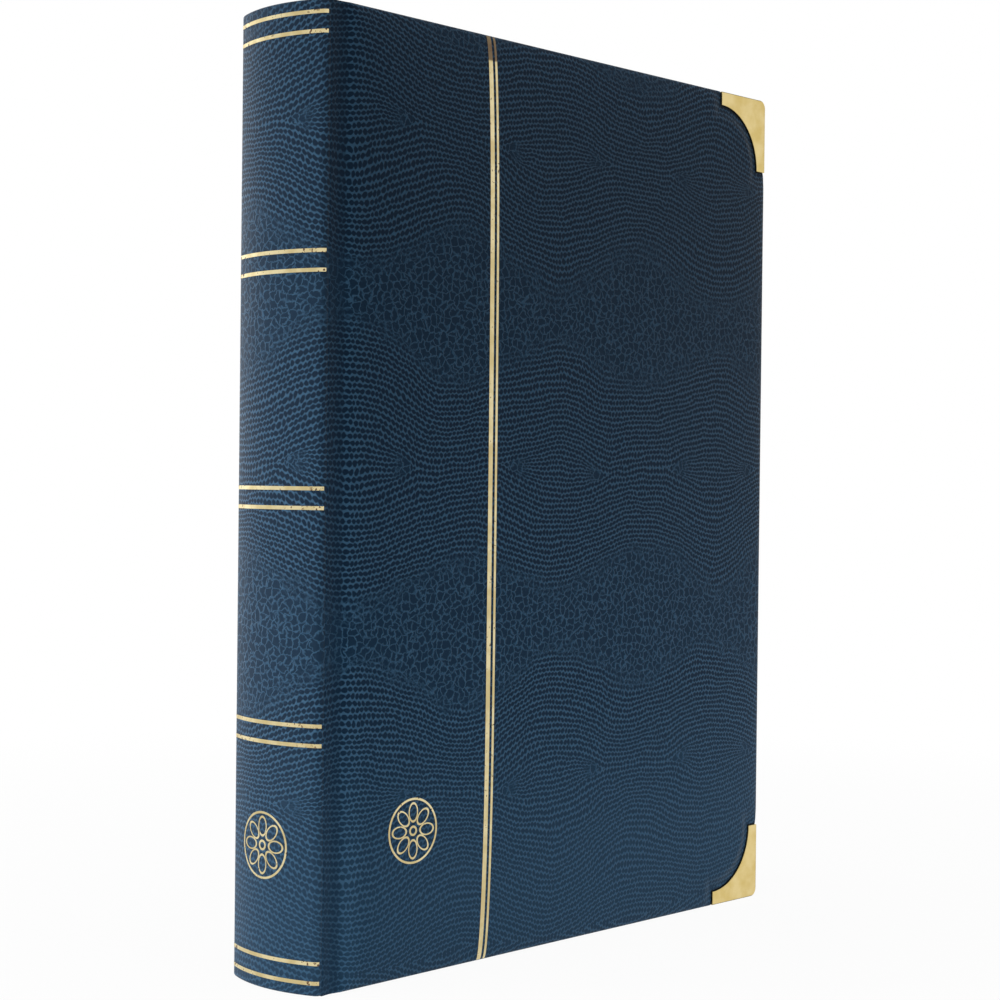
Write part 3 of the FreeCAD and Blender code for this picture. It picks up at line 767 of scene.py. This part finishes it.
# Painted shade: a dark line along the outer edges, where the sheet folds round the board, standing in for the
# shade on those rounded folds.
outermost = ((z - head / 2).math("ABSOLUTE") - head / 2).math("MAXIMUM", x - fore_edge)
edge_shade = outermost.rise(-EDGE_SHADE_WIDTH, -EDGE_SHADE_WIDTH / 3)
gilt_colour = gilt_metal.mix(tarnish.rise(0.3, 0.7), GILT, GILT_PALE)
gilt_metal.feed({"Base Color": gilt_metal.mix(edge_shade * 0.8, gilt_colour, GILT_EDGE_SHADE),
                 "Roughness": 0.4 + scuffs * 0.15, "Normal": gilt_metal.bump(scuffs, SCUFF_DEPTH)})
for side in ("front", "rear"):
    for level in ("lower", "upper"):
        source = frame["nodes"][f"{side}_{level}_corner"]
        corner = source.copy()
        corner.data = source.data.copy()
        for key in list(corner.keys()):
            del corner[key]
        corner.parent = None
        corner.name = corner.data.name = f"{side}_{level}_gilt_corner"
        bpy.context.collection.objects.link(corner)
        finish_mesh(corner)
        bpy.ops.object.mode_set(mode="EDIT")
        bpy.ops.mesh.select_all(action="SELECT")
        bpy.ops.mesh.dissolve_limited(angle_limit=METAL_FLAT)
        bpy.ops.object.mode_set(mode="OBJECT")
        apply_modifier(corner, "BEVEL", width=CORNER_EDGE, segments=2, limit_method="ANGLE",
                       angle_limit=METAL_FOLD, harden_normals=False)
        bpy.ops.object.shade_smooth_by_angle(angle=METAL_FOLD)
        gilt_metal.wear(corner)
        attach(corner, f"{side}_cover")
        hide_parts(f"{side}_{level}_corner")

# Endpapers: a pastedown glued inside each cover and a free flyleaf beside it, of smooth black paper
# that matches the leaves.
PAPER_BLACK = shade(34, 34, 36)
PAPER_FIBRE = shade(52, 52, 54)
FIBRE_SCALE = 1200.0
FIBRE_DEPTH = 0.03 * MM

endpaper = Finish("endpaper", {"Roughness": 0.75})
fibres = endpaper.noise(endpaper.place(), FIBRE_SCALE, 4.0, 0.6)
endpaper.feed({"Base Color": endpaper.mix(fibres.rise(0.45, 0.75), PAPER_BLACK, PAPER_FIBRE),
               "Normal": endpaper.bump(fibres, FIBRE_DEPTH)})
for node in ("front_pastedown", "rear_pastedown", "front_flyleaf", "rear_flyleaf"):
    endpaper.wear(frame["nodes"][node])

# Leaves: black card hung on a linen fold. Nine clear film strips are welded along their feet on both
# pages, and a sheet of glassine keeps the stamps of facing pages apart.
LEAVES = 32
LINEN_WIDTH = 9 * MM
LINEN_WALL = 0.16 * MM
CARD_WALL = 0.45 * MM
CARD_ROUND = 2.5 * MM
FILM_WALL = 0.06 * MM
FILM_MARGIN = 5 * MM
FILM_DEPTH = 24 * MM
FILM_FOOT = 1.2 * MM
FILM_RISE = 0.8 * MM
FILM_WELD = 0.002 * MM
FILM_ROWS = 9
FIRST_FOOT = 5 * MM
TOP_GAP = 9 * MM
GLASSINE_WALL = 0.05 * MM
GLASSINE_GAP = 0.475 * MM
GLASSINE_INSET = 2 * MM
CARD_BLACK = shade(20, 20, 21)
CARD_LIGHT = shade(38, 38, 39)
CARD_FIBRE_SCALE = 1400.0
CARD_FIBRE_DEPTH = 0.03 * MM
CARD_SMOOTH = math.radians(30)
LINEN_BLACK = shade(26, 26, 27)
LINEN_THREAD = shade(58, 58, 60)
THREAD = 0.5 * MM
THREAD_DEPTH = 0.05 * MM
FILM_CLEAR = (0.95, 0.97, 0.97, 1)
FILM_SMOOTH = math.radians(20)
RIPPLE_SCALE = 60.0
RIPPLE_DEPTH = 0.05 * MM
GLASSINE_WHITE = shade(226, 229, 224)
GLASSINE_FIBRE = shade(208, 212, 206)
GLASSINE_FIBRE_SCALE = 500.0

leaf_low, leaf_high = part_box("leaf_01")
fold_x = fold_places["leaf_01_fold"].x
card_x = fold_x + LINEN_WIDTH


def slab(name, low, high):
    """A flat block between two corners."""
    clear_selection()
    low, high = Vector(low), Vector(high)
    bpy.ops.mesh.primitive_cube_add(size=1, calc_uvs=False, location=(low + high) / 2)
    block = bpy.context.object
    block.name = block.data.name = name
    block.scale = high - low
    bpy.ops.object.transform_apply(location=True, rotation=True, scale=True)
    return block


def round_corners(piece, far_x):
    """Round the two corners of a sheet at its fore-edge."""
    def at_corner(edge):
        first, last = edge.verts
        return min(first.co.x, last.co.x) > far_x - HAIR and abs(first.co.z - last.co.z) < HAIR
    select_edges(piece, at_corner)
    bpy.ops.mesh.bevel(offset=CARD_ROUND, segments=6, affect="EDGES")
    finish_mesh(piece, CARD_SMOOTH)


card = slab("card", (card_x, -CARD_WALL / 2, leaf_low.z), (leaf_high.x, CARD_WALL / 2, leaf_high.z))
round_corners(card, leaf_high.x)
linen_strip = slab("linen_strip", (leaf_low.x, -LINEN_WALL / 2, leaf_low.z),
                   (card_x, LINEN_WALL / 2, leaf_high.z))
select_edges(linen_strip, lambda edge: all(abs(corner.co.x - leaf_low.x) < HAIR for corner in edge.verts)
             and abs(edge.verts[0].co.y - edge.verts[1].co.y) < HAIR / 10)
bpy.ops.mesh.bevel(offset=LINEN_WALL * 0.4, segments=3, affect="EDGES")
finish_mesh(linen_strip)
glassine_x = leaf_high.x - GLASSINE_INSET
glassine_sheet = slab("glassine", (card_x, -GLASSINE_GAP - GLASSINE_WALL, leaf_low.z + GLASSINE_INSET),
                      (glassine_x, -GLASSINE_GAP, leaf_high.z - GLASSINE_INSET))
round_corners(glassine_sheet, glassine_x)

film_strip = upright_grid("film_strip", (card_x + FILM_MARGIN, leaf_high.x - FILM_MARGIN),
                          (0, FILM_DEPTH), step=1.0)
select_edges(film_strip, lambda edge: abs(edge.verts[0].co.x - edge.verts[1].co.x) < HAIR)
bpy.ops.mesh.subdivide(number_cuts=2)
bpy.ops.object.mode_set(mode="OBJECT")
for point in film_strip.data.vertices:
    row_number = round(3 * point.co.z / FILM_DEPTH)
    point.co.z = (0.0, FILM_FOOT, FILM_FOOT + FILM_RISE, FILM_DEPTH)[row_number]
    point.co.y = -CARD_WALL / 2 - (FILM_WELD if row_number < 2 else FILM_WALL)
apply_modifier(film_strip, "SOLIDIFY", thickness=FILM_WALL, offset=1.0)
finish_mesh(film_strip, FILM_SMOOTH)
strips = []
for level in range(FILM_ROWS):
    low_foot = leaf_low.z + FIRST_FOOT
    foot_z = low_foot + (leaf_high.z - TOP_GAP - FILM_DEPTH - low_foot) * level / (FILM_ROWS - 1)
    strips.append(twin(film_strip, "strip", shift=(0, 0, foot_z)))
    strips.append(twin(film_strip, "strip", mirrored=True, shift=(0, 0, foot_z)))
film_page = join_pieces("film_page", strips)

black_card = Finish("black_card", {"Roughness": 0.8})
card_fibre = black_card.noise(black_card.place(), CARD_FIBRE_SCALE, 3.0)
black_card.feed({"Base Color": black_card.mix(card_fibre.rise(0.45, 0.7), CARD_BLACK, CARD_LIGHT),
                 "Normal": black_card.bump(card_fibre, CARD_FIBRE_DEPTH)})
linen = Finish("linen", {"Roughness": 0.85})
x, y, z = linen.split(linen.place())
weave = z.wave(THREAD) * (x + y).wave(THREAD)
linen.feed({"Base Color": linen.mix(weave.rise(-0.6, 0.6), LINEN_BLACK, LINEN_THREAD),
            "Normal": linen.bump(weave, THREAD_DEPTH)})
film = Finish("clear_film", {"Base Color": FILM_CLEAR, "Roughness": 0.08,
                             "Transmission Weight": 1.0, "IOR": 1.45})
film_ripple = film.noise(film.place(), RIPPLE_SCALE, 2.0)
film.feed({"Normal": film.bump(film_ripple, RIPPLE_DEPTH)})
glassine = Finish("glassine", {"Roughness": 0.45})
glassine_fibre = glassine.noise(glassine.place(), GLASSINE_FIBRE_SCALE, 4.0, 0.6)
glassine.feed({"Base Color": glassine.mix(glassine_fibre.rise(0.4, 0.7), GLASSINE_WHITE, GLASSINE_FIBRE),
               "Alpha": 0.5 + glassine_fibre * 0.15})
black_card.wear(card)
linen.wear(linen_strip)
film.wear(film_page)
glassine.wear(glassine_sheet)

for number in range(1, LEAVES + 1):
    leaf = f"leaf_{number:02d}"
    place_y = fold_places[f"{leaf}_fold"].y
    rear = place_y > 0
    leaf_card = twin(card, f"{leaf}_card", rear, (0, place_y, 0))
    leaf_linen = twin(linen_strip, f"{leaf}_linen", rear, (0, place_y, 0))
    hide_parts(leaf)
    for piece in (leaf_card, leaf_linen, twin(film_page, f"{leaf}_film", rear, (0, place_y, 0)),
                  twin(glassine_sheet, f"{leaf}_glassine", rear, (0, place_y, 0))):
        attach(piece, leaf)
for piece in (card, linen_strip, film_page, glassine_sheet, film_strip):
    bpy.data.objects.remove(piece)

# Back of the leaves: black linen guards folded round each leaf's fold, the gauze lining that holds
# them, and a striped cloth band rolled over a cord at head and tail.
GAUZE = shade(206, 198, 178)
GAUZE_SHADE = shade(172, 162, 140)
GAUZE_THREAD = 0.9 * MM
GAUZE_DEPTH = 0.08 * MM
HEADBAND_GOLD = shade(196, 172, 112)
HEADBAND_BLACK = shade(36, 34, 32)
HEADBAND_STRIPE = 3 * MM
HEADBAND_THREAD = 0.4 * MM
HEADBAND_DEPTH = 0.06 * MM

linen.wear(frame["nodes"]["linen_guards"])
gauze = Finish("gauze", {"Roughness": 0.9})
x, y, z = gauze.split(gauze.place())
mesh_cloth = z.wave(GAUZE_THREAD) * y.wave(GAUZE_THREAD)
gauze.feed({"Base Color": gauze.mix(mesh_cloth.rise(-0.4, 0.6), GAUZE_SHADE, GAUZE),
            "Normal": gauze.bump(mesh_cloth, GAUZE_DEPTH)})
gauze.wear(frame["nodes"]["back_lining"])
band_cloth = Finish("band_cloth", {"Roughness": 0.7})
x, y, z = band_cloth.split(band_cloth.place())
threads = (y + z * 0.4).wave(HEADBAND_THREAD)
stripe = y.wave(HEADBAND_STRIPE).rise(-0.1, 0.1)
band_cloth.feed({"Base Color": band_cloth.mix(stripe, HEADBAND_GOLD, HEADBAND_BLACK),
                 "Normal": band_cloth.bump(threads, HEADBAND_DEPTH)})
band_cloth.wear(frame["nodes"]["headband"], frame["nodes"]["tailband"])

# Studio: a white table that runs into a white backdrop. Broad softboxes stand to the left, behind and
# above, with weak ones along the foot of the cover, by the spine and behind its far edge. Only the
# last of them shows in the gilding, which otherwise mirrors the white room.
TABLE_SIZE = 8
TABLE_WHITE = (0.8, 0.8, 0.8, 1)
NEAR_WHITE = 0.94
SHADOW_REACH = (0.03, 0.4)
WORLD_LIGHT = 0.25
WHITE = (1, 1, 1, 1)
clear_selection()
bpy.ops.mesh.primitive_plane_add(size=TABLE_SIZE, location=(0, 0, 0))
table = bpy.context.object
table.name = "table"
table_white = Finish("table_white", {"Roughness": 0.9, "Base Color": TABLE_WHITE})
x, y, z = table_white.split(table_white.place())
away = (x * x + y * y).rise(*SHADOW_REACH)
bare = table_white.node("ShaderNodeLightPath", output="Is Camera Ray")
for kind in ("Is Glossy Ray", "Is Transmission Ray"):
    bare = bare.math("MAXIMUM", table_white.node("ShaderNodeLightPath", output=kind))
glow = table_white.node("ShaderNodeEmission", None, {"Color": WHITE, "Strength": 1.0})
lit = Value(table_white, table_white.shader.outputs[0])
shown = table_white.node("ShaderNodeMixShader", None,
                         {0: bare * (NEAR_WHITE + away * (1 - NEAR_WHITE)), 1: lit, 2: glow})
table_white.set(table_white.tree.nodes["Material Output"].inputs["Surface"], shown)
table_white.wear(table)

world = bpy.data.worlds.new("studio")
bpy.context.scene.world = world
world.use_nodes = True
nodes = world.node_tree.nodes
links = world.node_tree.links
ray = nodes.new("ShaderNodeLightPath")
shows = ray.outputs["Is Camera Ray"]
for kind in ("Is Glossy Ray", "Is Transmission Ray"):
    either = nodes.new("ShaderNodeMath")
    either.operation = "MAXIMUM"
    links.new(shows, either.inputs[0])
    links.new(ray.outputs[kind], either.inputs[1])
    shows = either.outputs[0]
level = nodes.new("ShaderNodeMapRange")
level.inputs["To Min"].default_value = WORLD_LIGHT
level.inputs["To Max"].default_value = 1.0
links.new(shows, level.inputs["Value"])
backdrop = nodes["Background"]
backdrop.inputs["Color"].default_value = WHITE
links.new(level.outputs[0], backdrop.inputs["Strength"])


def softbox(name, place, aim, size, power, spread=180, mirrored=False):
    """A lamp that the camera doesn't see, and that shows in gloss only where it is mirrored."""
    lamp = bpy.data.lights.new(name, "AREA")
    lamp.shape = "RECTANGLE"
    lamp.size, lamp.size_y = size
    lamp.energy = power
    lamp.spread = math.radians(spread)
    holder = bpy.data.objects.new(name, lamp)
    bpy.context.collection.objects.link(holder)
    holder.location = place
    holder.visible_camera = False
    holder.visible_glossy = mirrored
    holder.rotation_euler = (Vector(aim) - Vector(place)).to_track_quat("-Z", "Y").to_euler()


softbox("left_softbox", place=(-1.7, 0.4, 0.4), aim=(-0.1, 0, 0.05), size=(2.8, 2.0), power=26)
softbox("rear_softbox", place=(-0.8, 1.9, 0.4), aim=(0, 0, 0.1), size=(2.4, 2.0), power=16)
softbox("edge_softbox", place=(-0.1, 1.6, 0.2), aim=(-0.11, 0, 0.1), size=(1.6, 1.2), power=6, mirrored=True)
softbox("top_softbox", place=(0.2, -0.4, 1.9), aim=(0, 0, 0.1), size=(1.6, 1.6), power=15)
softbox("low_softbox", place=(0.05, -0.5, 0.03), aim=(0, 0, 0), size=(0.7, 0.06), power=0.45, spread=60)
softbox("spine_softbox", place=(-0.75, 0.3, 0.08), aim=(-0.11, 0, 0), size=(1.2, 0.16), power=2.8, spread=90)

CAMERA_PLACE = (-0.53424, -0.48921, 0.15858)
CAMERA_TURN = math.radians(-47.013)
CAMERA_TILT = math.radians(-0.543)
CAMERA_ROLL = math.radians(0.631)
FOCAL_PIXELS = 2065.9
IMAGE_PIXELS = 1000
camera_data = bpy.data.cameras.new("camera")
camera_data.lens = camera_data.sensor_width * FOCAL_PIXELS / IMAGE_PIXELS
camera = bpy.data.objects.new("camera", camera_data)
bpy.context.collection.objects.link(camera)
camera.matrix_world = (Matrix.Translation(CAMERA_PLACE) @ Matrix.Rotation(CAMERA_TURN, 4, "Z")
                       @ Matrix.Rotation(math.pi / 2 + CAMERA_TILT, 4, "X")
                       @ Matrix.Rotation(CAMERA_ROLL, 4, "Z"))
bpy.context.scene.camera = camera
bpy.context.scene.view_settings.view_transform = "Standard"
